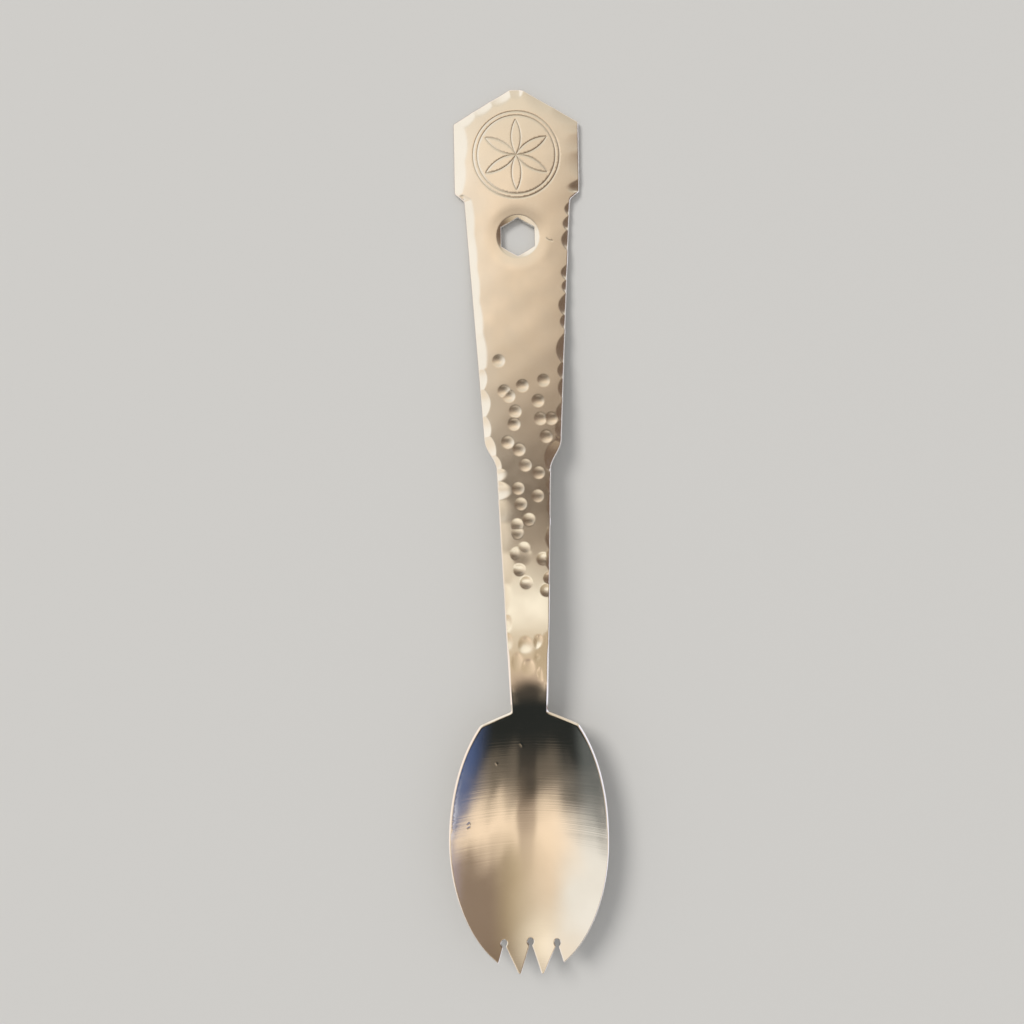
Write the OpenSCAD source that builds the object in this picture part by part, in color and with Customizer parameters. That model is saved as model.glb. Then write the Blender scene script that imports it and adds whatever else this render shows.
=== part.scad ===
// Spork cut from one metal plate: a pointed head with a hexagon hole, a tapered handle with
// hammered edges, a stepped neck, a pressed bowl and four tines.
// +Y runs along the handle to the head, +Z is up, and the part rests on the plane Z = 0.

/* [Plate] */
// Thickness of the plate at the head and along the handle
plate_t = 2.2; // [1.8:0.1:3]
// Thickness of the pressed bowl
bowl_t = 1.5; // [1.2:0.1:2]
// Thickness at the points of the tines
tine_t = 0.9; // [0.7:0.1:1.2]

/* [Head] */
// Width of the head across its straight sides
head_w = 30.5; // [28:0.5:36]
// Length of the head's straight sides
head_side_len = 17; // [12:0.5:22]
// Length of the pointed end beyond the straight sides
head_peak_len = 8; // [5:0.5:11]
// Width of the blunted point
head_tip_w = 2.4; // [2:0.2:8]
// Length of the slanted shoulders under the head
head_shoulder_len = 1.9; // [1:0.1:4]

/* [Handle] */
// Width of the handle just under the head
handle_top_w = 25.9; // [22:0.5:27.5]
// Width of the handle just above the step
handle_low_w = 18.6; // [16:0.2:21]
// Length of the handle from the step to the head
handle_len = 58.5; // [45:0.5:75]
// Length of the step from the handle to the neck
step_len = 7.5; // [5:0.5:12]

/* [Neck] */
// Width of the neck just under the step
neck_top_w = 13; // [11:0.2:15]
// Width of the neck where it meets the bowl
neck_end_w = 8.7; // [7:0.1:10]
// Length of the neck
neck_len = 57.2; // [45:0.2:70]
// Distance from the bowl to the crest of the neck
crest_run = 15; // [10:0.5:22]
// Sideways sway of the hand-formed neck at the bowl
neck_sway = 0.7; // [0:0.1:2]

/* [Bowl] */
// Width of the bowl
bowl_w = 37.8; // [34:0.2:44]
// Depth of the bowl below its rim
bowl_depth = 7.5; // [5:0.5:10]
// Distance from the widest line of the bowl up to its corners
bowl_upper_len = 27.2; // [20:0.2:34]
// Distance from the widest line of the bowl down to the end of its oval
bowl_lower_len = 31.9; // [26:0.1:38]
// Width of the bowl between its corners
corner_w = 23.2; // [18:0.2:28]
// Length of the slanted shoulders between the corners and the neck
shoulder_len = 2.8; // [1.6:0.1:5]

/* [Tines] */
// Spacing of the relief holes between the tines
tine_pitch = 6.35; // [5:0.05:7.2]
// Diameter of the relief holes
relief_d = 1.5; // [1:0.1:2]
// Length of the notches, from the tine points up to the relief holes
notch_len = 6.6; // [5.6:0.1:9]
// Width of the blunt points of the inner tines
tine_tip_w = 0.5; // [0.3:0.1:0.9]

/* [Hexagon hole] */
// Width of the hexagon hole across its flats
hex_af = 8; // [6:0.1:11]
// Distance from the head's slanted shoulders down to the middle of the hexagon hole
hex_drop = 9; // [8:0.5:20]
// How far the round countersink reaches past the hexagon's corners
sink_margin = 0.6; // [0.2:0.1:1.5]
// Depth of the round countersink
sink_depth = 0.5; // [0.2:0.1:0.9]
// How far the shallow dish hammered round the hole reaches past the countersink
dish_margin = 2.5; // [1:0.1:3.5]
// Depth of the shallow dish
dish_depth = 0.15; // [0.1:0.05:0.4]

/* [Hammered finish] */
// Widest width of the hammered bevel along the upper edges
bevel_w = 2.4; // [1:0.1:3]
// Drop of the hammered bevel at the edge
bevel_drop = 0.7; // [0.2:0.1:1]
// Spacing of the hammer blows along the edges
blow_pitch = 9.6; // [6:0.2:14]
// Width and drop of the broken edge round the bowl
rim_bevel = 0.3; // [0.1:0.05:0.4]
// Width and drop of the broken edge under the plate
under_bevel = 0.3; // [0.1:0.05:0.4]
// Diameter of the punched dimples
dimple_d = 3.1; // [1.5:0.1:4]
// Depth of the punched dimples
dimple_depth = 0.18; // [0.1:0.02:0.5]
// Width of a full planishing dent at the foot of the neck
dent_w = 3.6; // [2.4:0.1:4.4]
// Length of a full planishing dent, along the neck
dent_len = 5; // [4.6:0.1:7]
// Depth of the planishing dents
dent_depth = 0.16; // [0.08:0.02:0.3]

/* [Hidden] */
$fn = 48;

// Counts of steps along each stretch and across the plate
oval_steps = 14;
shoulder_steps = 3;
neck_steps = 26;
step_steps = 7;
handle_steps = 26;
head_steps = 8;
peak_steps = 4;
across = 13;
// Angle at which the loft stops short of the oval's end, inside the middle notch
tail_angle = 88;
// How far cuts run past the faces they open
overrun = 1;
// Distance to either side over which the plate's climb is measured
climb_run = 0.1;

// Places of the tine points as shares of the hole spacing
inner_tip_share = 0.43;
outer_tip_share = 1.22;
// How far each notch is carried on past the tine points, as a share of its own length
notch_run_share = 1.6;
// Narrowest bevel between two hammer blows, and the bevel at the top of the neck
blow_share = 0.55;
neck_bevel_share = 0.6;
// Most of the half width that one bevel may take near the head's point
bevel_limit_share = 0.8;
// Offsets of the hammer blows on the left and right edges, as shares of their spacing
left_blow_share = 0.15;
right_blow_share = 0.6;

// Dimples: place across as a share of the half width, and along from the bowl to the head
dimple_shares = [
    [-0.51, 0.68], [0.02, 0.63], [0.52, 0.64], [-0.42, 0.62], [-0.31, 0.61], [0.39, 0.60],
    [-0.17, 0.58], [0.45, 0.565], [0.72, 0.565], [-0.21, 0.555], [0.60, 0.53], [-0.39, 0.52],
    [-0.11, 0.505], [0.07, 0.475], [0.55, 0.46], [-0.22, 0.43], [-0.76, 0.425], [0.51, 0.415],
    [-0.14, 0.40], [0.16, 0.37], [-0.31, 0.36], [-0.32, 0.345], [-0.07, 0.315], [-0.41, 0.305],
    [0.70, 0.295], [-0.29, 0.275], [-0.02, 0.25], [0.85, 0.235]
];
// Planishing dents at the foot of the neck: placed the same way, then their share of the full
// width and length
dent_shares = [
    [0.52, 0.133, 0.74, 0.90], [0.54, 0.105, 0.72, 0.64], [0.61, 0.077, 0.54, 0.90],
    [-0.11, 0.129, 1.00, 0.94], [0.00, 0.088, 0.98, 0.90], [-0.54, 0.097, 0.80, 1.04],
    [-0.92, 0.136, 0.62, 0.90], [-0.92, 0.172, 0.62, 0.90], [-0.82, 0.055, 0.74, 1.26]
];

// Oval of the bowl
bowl_r = bowl_w / 2;
corner_angle = acos(corner_w / bowl_w);
upper_axis = bowl_upper_len / sin(corner_angle);
inner_tip_x = tine_pitch * inner_tip_share;
outer_tip_x = tine_pitch * outer_tip_share;
tip_reach = oval_drop(inner_tip_x - tine_tip_w / 2);

// Places along the part, from the tine points to the head's point
total_len = tip_reach + bowl_upper_len + shoulder_len + neck_len + step_len + handle_len
    + head_shoulder_len + head_side_len + head_peak_len;
tip_y = -total_len / 2;
wide_y = tip_y + tip_reach;
corner_y = wide_y + bowl_upper_len;
neck_y = corner_y + shoulder_len;
crest_y = neck_y + crest_run;
step_y = neck_y + neck_len;
handle_y = step_y + step_len;
shoulder_y = handle_y + handle_len;
head_y = shoulder_y + head_shoulder_len;
peak_y = head_y + head_side_len;
end_y = peak_y + head_peak_len;
relief_y = tip_y + notch_len;
hex_y = shoulder_y - hex_drop;

// Shape of the bent plate: slope and height of its middle line where the bowl meets the neck
neck_rise = neck_y - wide_y;
neck_slope = 2 * bowl_depth * neck_rise / pow(upper_axis, 2);
neck_z = bowl_t + bowl_depth * pow(neck_rise / upper_axis, 2);
crest_z = neck_z + neck_slope * crest_run / 2;
// How strongly the bowl curves across
hollow = bowl_depth / pow(bowl_r, 2);

// Distance of the oval's lower edge below its widest line, at a distance x from the middle
function oval_drop(x) = bowl_lower_len * sqrt(1 - pow(x / bowl_r, 2));
function mix(a, b, u) = a + (b - a) * u;
function held(u) = max(0, min(1, u));
function ease(u) = (1 - cos(180 * held(u))) / 2;

// Height of the upper surface on the middle line
function bowl_z(y) = bowl_t + bowl_depth * pow((y - wide_y) / (y < wide_y ? bowl_lower_len : upper_axis), 2);
function crest_fall_z(u) = neck_z + neck_slope * u - neck_slope * pow(u, 2) / (2 * crest_run);
function mid_z(y) =
    y <= neck_y ? bowl_z(y)
    : y <= crest_y ? crest_fall_z(y - neck_y)
    : mix(crest_z, plate_t, ease((y - crest_y) / (shoulder_y - crest_y)));
// The hollow across the bowl fades out between the bowl and the crest of the neck
function hollow_at(y) = hollow * (1 - ease((y - neck_y) / crest_run));
function top_z(x, y) = mid_z(y) + hollow_at(y) * pow(x, 2);
// Angle at which the middle line climbs
function climb(y) = atan((mid_z(y + climb_run) - mid_z(y - climb_run)) / (2 * climb_run));
function thickness(y) =
    y <= wide_y ? mix(tine_t, bowl_t, held((y - tip_y) / (relief_y - tip_y)))
    : mix(bowl_t, plate_t, held((y - neck_y) / crest_run));
// The sway grows from the head to the bowl's neck and dies out at the widest line
function sway(y) = neck_sway * (y > neck_y ? held((shoulder_y - y) / (shoulder_y - neck_y))
    : held((y - wide_y) / neck_rise));

// Half width of the handle and neck, where dimples and dents are placed
function neck_half(y) = mix(neck_end_w, neck_top_w, (y - neck_y) / neck_len) / 2;
function step_half(y) = mix(neck_top_w, handle_low_w, ease((y - step_y) / step_len)) / 2;
function handle_half(y) = mix(handle_low_w, handle_top_w, (y - handle_y) / handle_len) / 2;
function half_width(y) = y <= step_y ? neck_half(y) : y <= handle_y ? step_half(y) : handle_half(y);

// Width of the hammered bevel: scallops one blow long, plain on the bowl
function blow(y, phase) = mix(blow_share, 1, abs(sin(180 * (y / blow_pitch + phase))));
function bevel_at(y, phase) =
    y <= neck_y ? rim_bevel
    : y <= step_y ? mix(rim_bevel, bevel_w * neck_bevel_share, (y - neck_y) / neck_len) * blow(y, phase)
    : mix(bevel_w * neck_bevel_share, bevel_w, ease((y - step_y) / step_len)) * blow(y, phase);
// Bevels run square to the slanted edges of the head's point
function edge_stretch(y) = y > peak_y ? sqrt(1 + pow((head_w - head_tip_w) / 2 / head_peak_len, 2)) : 1;
function bevel_in(y, half, phase) = min(bevel_at(y, phase) * edge_stretch(y), half * bevel_limit_share);
function bevel_fall(y, phase) = y <= neck_y ? rim_bevel : bevel_drop * bevel_at(y, phase) / bevel_w;
function end_fall(y) = bevel_drop * held((y - end_y) / bevel_w + 1);

// Stations along the part, each a place along it and a half width
stations = concat(
    [for (i = [0 : oval_steps]) let (a = tail_angle * (1 - i / oval_steps))
        [wide_y - bowl_lower_len * sin(a), bowl_r * cos(a)]],
    [for (i = [1 : oval_steps]) let (a = corner_angle * i / oval_steps)
        [wide_y + upper_axis * sin(a), bowl_r * cos(a)]],
    [for (i = [1 : shoulder_steps]) let (u = i / shoulder_steps)
        [corner_y + shoulder_len * u, mix(corner_w, neck_end_w, u) / 2]],
    [for (i = [1 : neck_steps]) let (y = neck_y + neck_len * i / neck_steps) [y, neck_half(y)]],
    [for (i = [1 : step_steps]) let (y = step_y + step_len * i / step_steps) [y, step_half(y)]],
    [for (i = [1 : handle_steps]) let (y = handle_y + handle_len * i / handle_steps) [y, handle_half(y)]],
    [for (i = [0 : head_steps]) [head_y + head_side_len * i / head_steps, head_w / 2]],
    [for (i = [1 : peak_steps]) let (u = i / peak_steps)
        [peak_y + head_peak_len * u, mix(head_w, head_tip_w, u) / 2]]
);

// One closed section: its upper chain runs left to right, and its lower chain runs back
function section(y, half) =
    let (
        left = bevel_in(y, half, left_blow_share),
        right = bevel_in(y, half, right_blow_share),
        rim_z = top_z(half, y),
        low_z = rim_z - thickness(y) + under_bevel,
        low_half = half - min(under_bevel, half * bevel_limit_share),
        cx = sway(y)
    )
    concat(
        [[cx - half, y, rim_z - bevel_fall(y, left_blow_share)]],
        [for (i = [0 : across - 1]) let (x = mix(left - half, half - right, i / (across - 1)))
            [cx + x, y, top_z(x, y) - end_fall(y)]],
        [[cx + half, y, rim_z - bevel_fall(y, right_blow_share)]],
        [[cx + half, y, low_z]],
        [for (i = [across - 1 : -1 : 0]) let (x = mix(-low_half, low_half, i / (across - 1)))
            [cx + x, y, top_z(x, y) - thickness(y)]],
        [[cx - half, y, low_z]]
    );

ring = 2 * (across + 2);
last = len(stations) - 1;

// The bent and pressed plate before anything is cut out of it
module plate() {
    points = [for (s = stations) each section(s[0], s[1])];
    sides = [for (j = [0 : last - 1]) for (k = [0 : ring - 1])
        let (a = j * ring + k, b = j * ring + (k + 1) % ring)
        each [[a, a + ring, b + ring], [a, b + ring, b]]];
    tail = [for (i = [0 : across]) each [[i, i + 1, ring - 2 - i], [i, ring - 2 - i, ring - 1 - i]]];
    front = [for (f = tail) [for (i = [2 : -1 : 0]) f[i] + last * ring]];
    polyhedron(points, concat(sides, tail, front), convexity = 8);
}

// A notch with straight edges from a relief hole's middle to two points of tines
module notch(x, left_tip, right_tip) {
    apex = [x, relief_y];
    translate([0, 0, -overrun])
        linear_extrude(bowl_t + bowl_depth + 2 * overrun)
            polygon([apex, mix(apex, left_tip, notch_run_share), mix(apex, right_tip, notch_run_share)]);
    translate([x, relief_y, -overrun])
        cylinder(d = relief_d, h = bowl_t + bowl_depth + 2 * overrun);
}

function oval_point(x) = [x, wide_y - oval_drop(x)];

module tine_notches() {
    near = inner_tip_x - tine_tip_w / 2;
    far = inner_tip_x + tine_tip_w / 2;
    notch(0, oval_point(-near), oval_point(near));
    notch(tine_pitch, oval_point(far), oval_point(outer_tip_x));
    notch(-tine_pitch, oval_point(-outer_tip_x), oval_point(-far));
}

// Radius of the arc that is this wide and this deep
function arc_r(width, depth) = (pow(width / 2, 2) + pow(depth, 2)) / (2 * depth);

// A ball that leaves a round dent in a surface through the origin that climbs along Y
module dent_ball(d, depth, lean) {
    r = arc_r(d, depth);
    translate([0, (depth - r) * sin(lean), (r - depth) * cos(lean)])
        sphere(r);
}

// A rolling wheel's tread that leaves an oval dent, longer along Y, in a surface at z = 0
module dent_wheel(width, length, depth) {
    tread_r = arc_r(width, depth);
    wheel_r = arc_r(length, depth);
    translate([0, 0, wheel_r - depth])
        rotate([0, -90, 0])
            rotate_extrude()
                intersection() {
                    translate([wheel_r - tread_r, 0])
                        rotate(180)
                            circle(tread_r);
                    translate([wheel_r / 2, -tread_r])
                        square([wheel_r / 2, 2 * tread_r]);
                }
}

module hex_hole() {
    hex_r = hex_af / 2 / cos(30);
    sink_r = hex_r + sink_margin;
    dish_r = sink_r + dish_margin;
    face_z = mid_z(hex_y);
    translate([sway(hex_y), hex_y, 0]) {
        translate([0, 0, -overrun])
            rotate(30)
                cylinder(r = hex_r, h = face_z + 2 * overrun, $fn = 6);
        translate([0, 0, face_z - dish_depth - sink_depth])
            cylinder(r1 = hex_af / 2, r2 = sink_r, h = sink_depth);
        // The dish is a flat cone that is carried on as far again above the plate
        translate([0, 0, face_z - dish_depth])
            cylinder(r1 = sink_r, r2 = dish_r + dish_margin, h = 2 * dish_depth);
    }
}

function share_y(s) = mix(neck_y, shoulder_y, s[1]);

// Moves a dent to its place on the upper surface
module at_share(s) {
    y = share_y(s);
    x = s[0] * half_width(y);
    translate([sway(y) + x, y, top_z(x, y)])
        children();
}

module spork() {
    color("wheat")
        difference() {
            plate();
            tine_notches();
            hex_hole();
            for (s = dimple_shares)
                at_share(s)
                    dent_ball(dimple_d, dimple_depth, climb(share_y(s)));
            for (s = dent_shares)
                at_share(s)
                    rotate([climb(share_y(s)), 0, 0])
                        dent_wheel(dent_w * s[2], dent_len * s[3], dent_depth);
        }
}

spork();
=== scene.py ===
import math

import bpy
import numpy as np
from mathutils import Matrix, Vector
from mathutils.geometry import delaunay_2d_cdt
from mathutils.kdtree import KDTree


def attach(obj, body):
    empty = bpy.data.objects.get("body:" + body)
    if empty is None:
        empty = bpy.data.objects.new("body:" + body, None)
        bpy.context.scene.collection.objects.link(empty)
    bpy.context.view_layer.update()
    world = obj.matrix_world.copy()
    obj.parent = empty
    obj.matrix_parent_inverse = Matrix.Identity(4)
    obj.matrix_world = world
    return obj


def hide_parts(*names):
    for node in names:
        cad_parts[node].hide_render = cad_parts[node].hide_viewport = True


# The visual model of a one-piece metal spork. Sizes are in millimetres until a mesh is made.
# The sizes in this first block are those of the CAD model, and the finish is added to them.
MM = 0.001

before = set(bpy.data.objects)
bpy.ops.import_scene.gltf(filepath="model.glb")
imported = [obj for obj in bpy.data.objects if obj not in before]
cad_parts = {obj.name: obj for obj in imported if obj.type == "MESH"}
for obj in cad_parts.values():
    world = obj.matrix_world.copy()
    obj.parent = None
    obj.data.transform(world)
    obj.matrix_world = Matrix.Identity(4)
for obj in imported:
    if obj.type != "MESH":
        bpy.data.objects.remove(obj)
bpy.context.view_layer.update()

# Plate
PLATE_T = 2.2
BOWL_T = 1.5
TINE_T = 0.9
# Head
HEAD_W = 30.5
HEAD_SIDE_LEN = 17.0
HEAD_PEAK_LEN = 8.0
HEAD_TIP_W = 2.4
HEAD_SHOULDER_LEN = 1.9
# Handle and neck
HANDLE_TOP_W = 25.9
HANDLE_LOW_W = 18.6
HANDLE_LEN = 58.5
STEP_LEN = 7.5
NECK_TOP_W = 13.0
NECK_END_W = 8.7
NECK_LEN = 57.2
CREST_RUN = 15.0
NECK_SWAY = 0.7
# Bowl
BOWL_R = 18.9
BOWL_DEPTH = 7.5
BOWL_UPPER_LEN = 27.2
BOWL_LOWER_LEN = 31.9
CORNER_W = 23.2
SHOULDER_LEN = 2.8
# Tines
TINE_PITCH = 6.35
RELIEF_R = 0.75
NOTCH_LEN = 6.6
TINE_TIP_W = 0.5
INNER_TIP_X = TINE_PITCH * 0.43
OUTER_TIP_X = TINE_PITCH * 1.22
# Hexagon hole
HEX_AF = 8.0
HEX_DROP = 9.0
SINK_MARGIN = 0.6
SINK_DEPTH = 0.5
DISH_MARGIN = 2.5
DISH_DEPTH = 0.15


def oval_drop(x):
    """How far the bowl's lower end reaches below its widest place, at a place across."""
    return BOWL_LOWER_LEN * math.sqrt(1 - (x / BOWL_R) ** 2)


# Places along the part, as in the CAD model
CORNER_ANGLE = math.acos(CORNER_W / 2 / BOWL_R)
UPPER_AXIS = BOWL_UPPER_LEN / math.sin(CORNER_ANGLE)
TIP_REACH = oval_drop(INNER_TIP_X - TINE_TIP_W / 2)
TOTAL_LEN = (TIP_REACH + BOWL_UPPER_LEN + SHOULDER_LEN + NECK_LEN + STEP_LEN + HANDLE_LEN
             + HEAD_SHOULDER_LEN + HEAD_SIDE_LEN + HEAD_PEAK_LEN)
TIP_Y = -TOTAL_LEN / 2
WIDE_Y = TIP_Y + TIP_REACH
CORNER_Y = WIDE_Y + BOWL_UPPER_LEN
NECK_Y = CORNER_Y + SHOULDER_LEN
CREST_Y = NECK_Y + CREST_RUN
STEP_Y = NECK_Y + NECK_LEN
HANDLE_Y = STEP_Y + STEP_LEN
SHOULDER_Y = HANDLE_Y + HANDLE_LEN
HEAD_Y = SHOULDER_Y + HEAD_SHOULDER_LEN
PEAK_Y = HEAD_Y + HEAD_SIDE_LEN
END_Y = PEAK_Y + HEAD_PEAK_LEN
RELIEF_Y = TIP_Y + NOTCH_LEN
HEX_Y = SHOULDER_Y - HEX_DROP
NECK_RISE = NECK_Y - WIDE_Y
NECK_SLOPE = 2 * BOWL_DEPTH * NECK_RISE / UPPER_AXIS ** 2
NECK_Z = BOWL_T + BOWL_DEPTH * (NECK_RISE / UPPER_AXIS) ** 2
CREST_Z = NECK_Z + NECK_SLOPE * CREST_RUN / 2
HOLLOW = BOWL_DEPTH / BOWL_R ** 2


def mix(a, b, u):
    """From a to b while u goes from 0 to 1."""
    return a + (b - a) * u


def ease(u):
    """From 0 to 1 with a gentle start and end."""
    return (1 - np.cos(np.pi * np.clip(u, 0, 1))) / 2


def mid_z(y):
    """Height of the upper surface on the middle line."""
    bowl = BOWL_T + BOWL_DEPTH * ((y - WIDE_Y) / np.where(y < WIDE_Y, BOWL_LOWER_LEN, UPPER_AXIS)) ** 2
    u = y - NECK_Y
    crest = NECK_Z + NECK_SLOPE * u - NECK_SLOPE * u ** 2 / (2 * CREST_RUN)
    handle = mix(CREST_Z, PLATE_T, ease((y - CREST_Y) / (SHOULDER_Y - CREST_Y)))
    return np.where(y <= NECK_Y, bowl, np.where(y <= CREST_Y, crest, handle))


def sway(y):
    """Sideways lean of the hand-formed neck."""
    above = np.clip((SHOULDER_Y - y) / (SHOULDER_Y - NECK_Y), 0, 1)
    below = np.clip((y - WIDE_Y) / NECK_RISE, 0, 1)
    return NECK_SWAY * np.where(y > NECK_Y, above, below)


def face_z(x, y):
    """Height of the plain upper surface, before any finish."""
    hollow = HOLLOW * (1 - ease((y - NECK_Y) / CREST_RUN))
    return mid_z(y) + hollow * (x - sway(y)) ** 2


def thickness(y):
    """Thickness of the plate along the part."""
    tines = mix(TINE_T, BOWL_T, np.clip((y - TIP_Y) / NOTCH_LEN, 0, 1))
    neck = mix(BOWL_T, PLATE_T, np.clip((y - NECK_Y) / CREST_RUN, 0, 1))
    return np.where(y <= WIDE_Y, tines, neck)


def half_width(y):
    """Half width of the neck, the step and the handle."""
    neck = mix(NECK_END_W, NECK_TOP_W, (y - NECK_Y) / NECK_LEN)
    step = mix(NECK_TOP_W, HANDLE_LOW_W, ease((y - STEP_Y) / STEP_LEN))
    handle = mix(HANDLE_LOW_W, HANDLE_TOP_W, (y - HANDLE_Y) / HANDLE_LEN)
    return np.where(y <= STEP_Y, neck, np.where(y <= HANDLE_Y, step, handle)) / 2


# The outline, as one loop of points that runs anticlockwise seen from above
EDGE_STEP = 0.3
HOLE_STEP = 0.16
# Numbers of points on its curves: each half of the bowl's side, the neck's step and a relief hole
LOWER_BOWL_POINTS = 60
UPPER_BOWL_POINTS = 50
STEP_POINTS = 12
RELIEF_POINTS = 24


def dense(points, step):
    """The same open line with points no further apart than step, without its last point."""
    points = np.asarray(points, float)
    out = []
    for a, b in zip(points[:-1], points[1:]):
        n = max(1, math.ceil(np.linalg.norm(b - a) / step))
        out += [mix(a, b, i / n) for i in range(n)]
    return out


def right_side():
    """Half widths and places along the right edge, from the outer tine to the head's point."""
    tine_angle = math.acos(OUTER_TIP_X / BOWL_R)
    points = [(BOWL_R * math.cos(a), WIDE_Y - BOWL_LOWER_LEN * math.sin(a))
              for a in np.linspace(tine_angle, 0, LOWER_BOWL_POINTS, endpoint=False)]
    points += [(BOWL_R * math.cos(a), WIDE_Y + UPPER_AXIS * math.sin(a))
               for a in np.linspace(0, CORNER_ANGLE, UPPER_BOWL_POINTS)]
    points += [(NECK_END_W / 2, NECK_Y), (NECK_TOP_W / 2, STEP_Y)]
    points += [(float(half_width(y)), y) for y in np.linspace(STEP_Y, HANDLE_Y, STEP_POINTS)[1:]]
    points += [(HANDLE_TOP_W / 2, SHOULDER_Y), (HEAD_W / 2, HEAD_Y), (HEAD_W / 2, PEAK_Y),
               (HEAD_TIP_W / 2, END_Y)]
    return points


def notch(hole_x, left_tip, right_tip):
    """Up one edge of a notch, round its relief hole, and down the other edge."""
    hole = np.array([hole_x, RELIEF_Y])
    angles = [math.atan2(*(np.array(tip) - hole)[::-1]) for tip in (left_tip, right_tip)]
    start, end = angles[0] + 2 * math.pi, angles[1]
    turn = np.linspace(start, end, RELIEF_POINTS)
    arc = [hole + RELIEF_R * np.array([math.cos(a), math.sin(a)]) for a in turn]
    return dense([left_tip, arc[0]], EDGE_STEP) + arc[:-1] + dense([arc[-1], right_tip], EDGE_STEP)


def oval_point(x):
    """The place on the bowl's lower end at a place across."""
    return (x, WIDE_Y - oval_drop(x))


def soften(loop):
    """Rounds a closed loop's corners a little."""
    for _ in range(2):
        loop = mix(loop, (np.roll(loop, 1, 0) + np.roll(loop, -1, 0)) / 2, 0.5)
    return loop


def outline():
    """The outline, and the number of its points that come before the notches."""
    side = np.array(right_side())
    lean = sway(side[:, 1])
    right = np.c_[lean + side[:, 0], side[:, 1]]
    left = np.c_[lean - side[:, 0], side[:, 1]][::-1]
    near, far = INNER_TIP_X - TINE_TIP_W / 2, INNER_TIP_X + TINE_TIP_W / 2
    tips = [oval_point(x) for x in (-OUTER_TIP_X, -far, -near, near, far, OUTER_TIP_X)]
    loop = dense(np.vstack([right, left]), EDGE_STEP)
    sides = len(loop)
    loop += notch(-TINE_PITCH, tips[0], tips[1])
    loop += dense([tips[1], tips[2]], EDGE_STEP)
    loop += notch(0, tips[2], tips[3])
    loop += dense([tips[3], tips[4]], EDGE_STEP)
    loop += notch(TINE_PITCH, tips[4], tips[5])
    return soften(np.array(loop)), sides


HEX_CENTRE = np.array([float(sway(HEX_Y)), HEX_Y])
HEX_R = HEX_AF / 2 / math.cos(math.pi / 6)
SINK_R = HEX_R + SINK_MARGIN
DISH_R = SINK_R + DISH_MARGIN


def hexagon():
    """The hexagon hole's edge, clockwise, with a point up and a point down."""
    angles = [math.pi / 2 - math.pi / 3 * i for i in range(7)]
    corners = [HEX_CENTRE + HEX_R * np.array([math.cos(a), math.sin(a)]) for a in angles]
    return np.array(dense(corners, HOLE_STEP))


# Hammer blows along the upper edges. Each blow is a shallow scoop that leans over the edge:
# its place along a stretch of edge, its length on the edge and how far it bites in.
RNG = np.random.default_rng(11)
BLOW_SLOPE = 0.3
# Slope of the side that closes a scoop beyond the end of its stretch, and how far on it may go
CLOSING_SLOPE = 0.35
CLOSING_REACH = 3
# Widths over which the creases round a blow are rounded
SOFT = 0.17
CRISP = 0.03
# A depth that stands for no mark at all, and a distance that stands for no line near
NO_MARK = -9.0
FAR = 99.0


class Blow:
    """One scoop at a place on a straight stretch of edge that has the metal on its left."""

    def __init__(self, start, end, place, length, bite, soft, slope=BLOW_SLOPE):
        start, end = np.array(start), np.array(end)
        self.stretch = np.linalg.norm(end - start)
        self.along = (end - start) / self.stretch
        self.inward = np.array([-self.along[1], self.along[0]])
        self.place, self.bite, self.soft = place, bite, soft
        self.middle = start + self.along * place
        self.drop = slope * bite
        self.curve = self.drop / (length / 2) ** 2

    def depth(self, p):
        q = p - self.middle
        u, v = q @ self.along, q @ self.inward
        beyond = np.maximum(-(u + self.place), u + self.place - self.stretch)
        v = np.where(beyond > 0, np.maximum(v, 0), v)
        deep = self.drop * (1 - v / self.bite) - self.curve * u ** 2
        deep -= CLOSING_SLOPE * np.maximum(beyond, 0)
        near = (v > -1) & (v < self.bite * 2) & (beyond < CLOSING_REACH)
        return np.where(near, deep, NO_MARK)


# Blows in uneven steps, as pitch, length and bite
TOP_RIGHT_BLOWS = (7.5, 12.0, 1.9)
TIP_BLOWS = (4.0, 8.0, 2.0)
TOP_LEFT_BLOWS = (6.0, 10.0, 2.3)
LEFT_HEAD_BLOWS = (8.0, 17.0, 2.7)
UPPER_LEFT_BLOWS = (9.0, 19.0, 2.1)
LOWER_LEFT_BLOWS = (6.5, 8.6, 2.1)
LEFT_STEP_BLOWS = (4.8, 8.0, 2.1)
TOP_RIGHT_SLOPE = 0.12
# How unevenly they are set, as a share of the pitch, length and bite
UNEVEN = 0.18
LESS_UNEVEN = 0.1
# Where the left edge's blows get shorter, as a share of the handle from its top
SHORTER_FROM = 0.7


def even_blows(start, end, sizes, soft, spread=UNEVEN, slope=BLOW_SLOPE):
    """Blows all along a stretch of edge, in uneven steps."""
    pitch, length, bite = sizes
    run = np.linalg.norm(np.array(end) - np.array(start))
    count = max(1, round(run / pitch))
    made = []
    for i in range(count):
        place = (i + 0.5 + RNG.uniform(-spread, spread)) * run / count
        vary = 1 + RNG.uniform(-spread, spread)
        bites = bite * (1 + RNG.uniform(-spread, spread))
        made.append(Blow(start, end, place, length * vary, bites, soft, slope))
    return made


def edge_point(y, side):
    """The place on the right or left edge, for a side of 1 or -1."""
    return (float(sway(y) + side * half_width(y)), y)


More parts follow.
